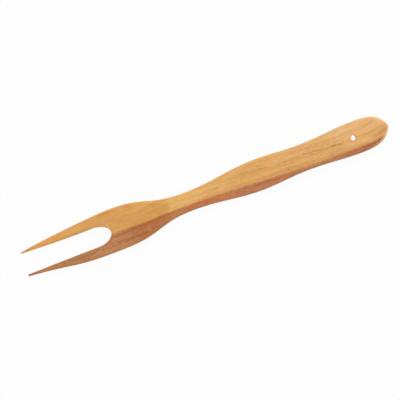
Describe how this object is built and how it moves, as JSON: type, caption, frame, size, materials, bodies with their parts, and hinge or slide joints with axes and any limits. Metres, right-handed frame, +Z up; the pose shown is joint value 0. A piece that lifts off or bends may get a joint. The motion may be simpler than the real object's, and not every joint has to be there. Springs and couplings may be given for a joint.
{
  "type": "wooden two-prong fork",
  "caption": "Flat carved wooden fork with long pointed prongs, a narrow neck and a waisted handle with a hanging hole; pale wood with a red-brown side.",
  "frame": {"origin": "under the middle of the fork, on the plane of its flat underside", "axes": "+X along the fork from the prong tips to the butt, +Y across it towards the pale prong, +Z up from the flat underside"},
  "size_m": [0.3, 0.033, 0.0094],
  "materials": {
    "sapwood": "oiled pale fruit wood with fine straight grain, satin",
    "heartwood": "oiled red-brown fruit wood with darker growth rings, satin"
  },
  "bodies": {
    "root": {"sapwood": "sapwood", "heartwood": "heartwood"}
  },
  "joints": []
}
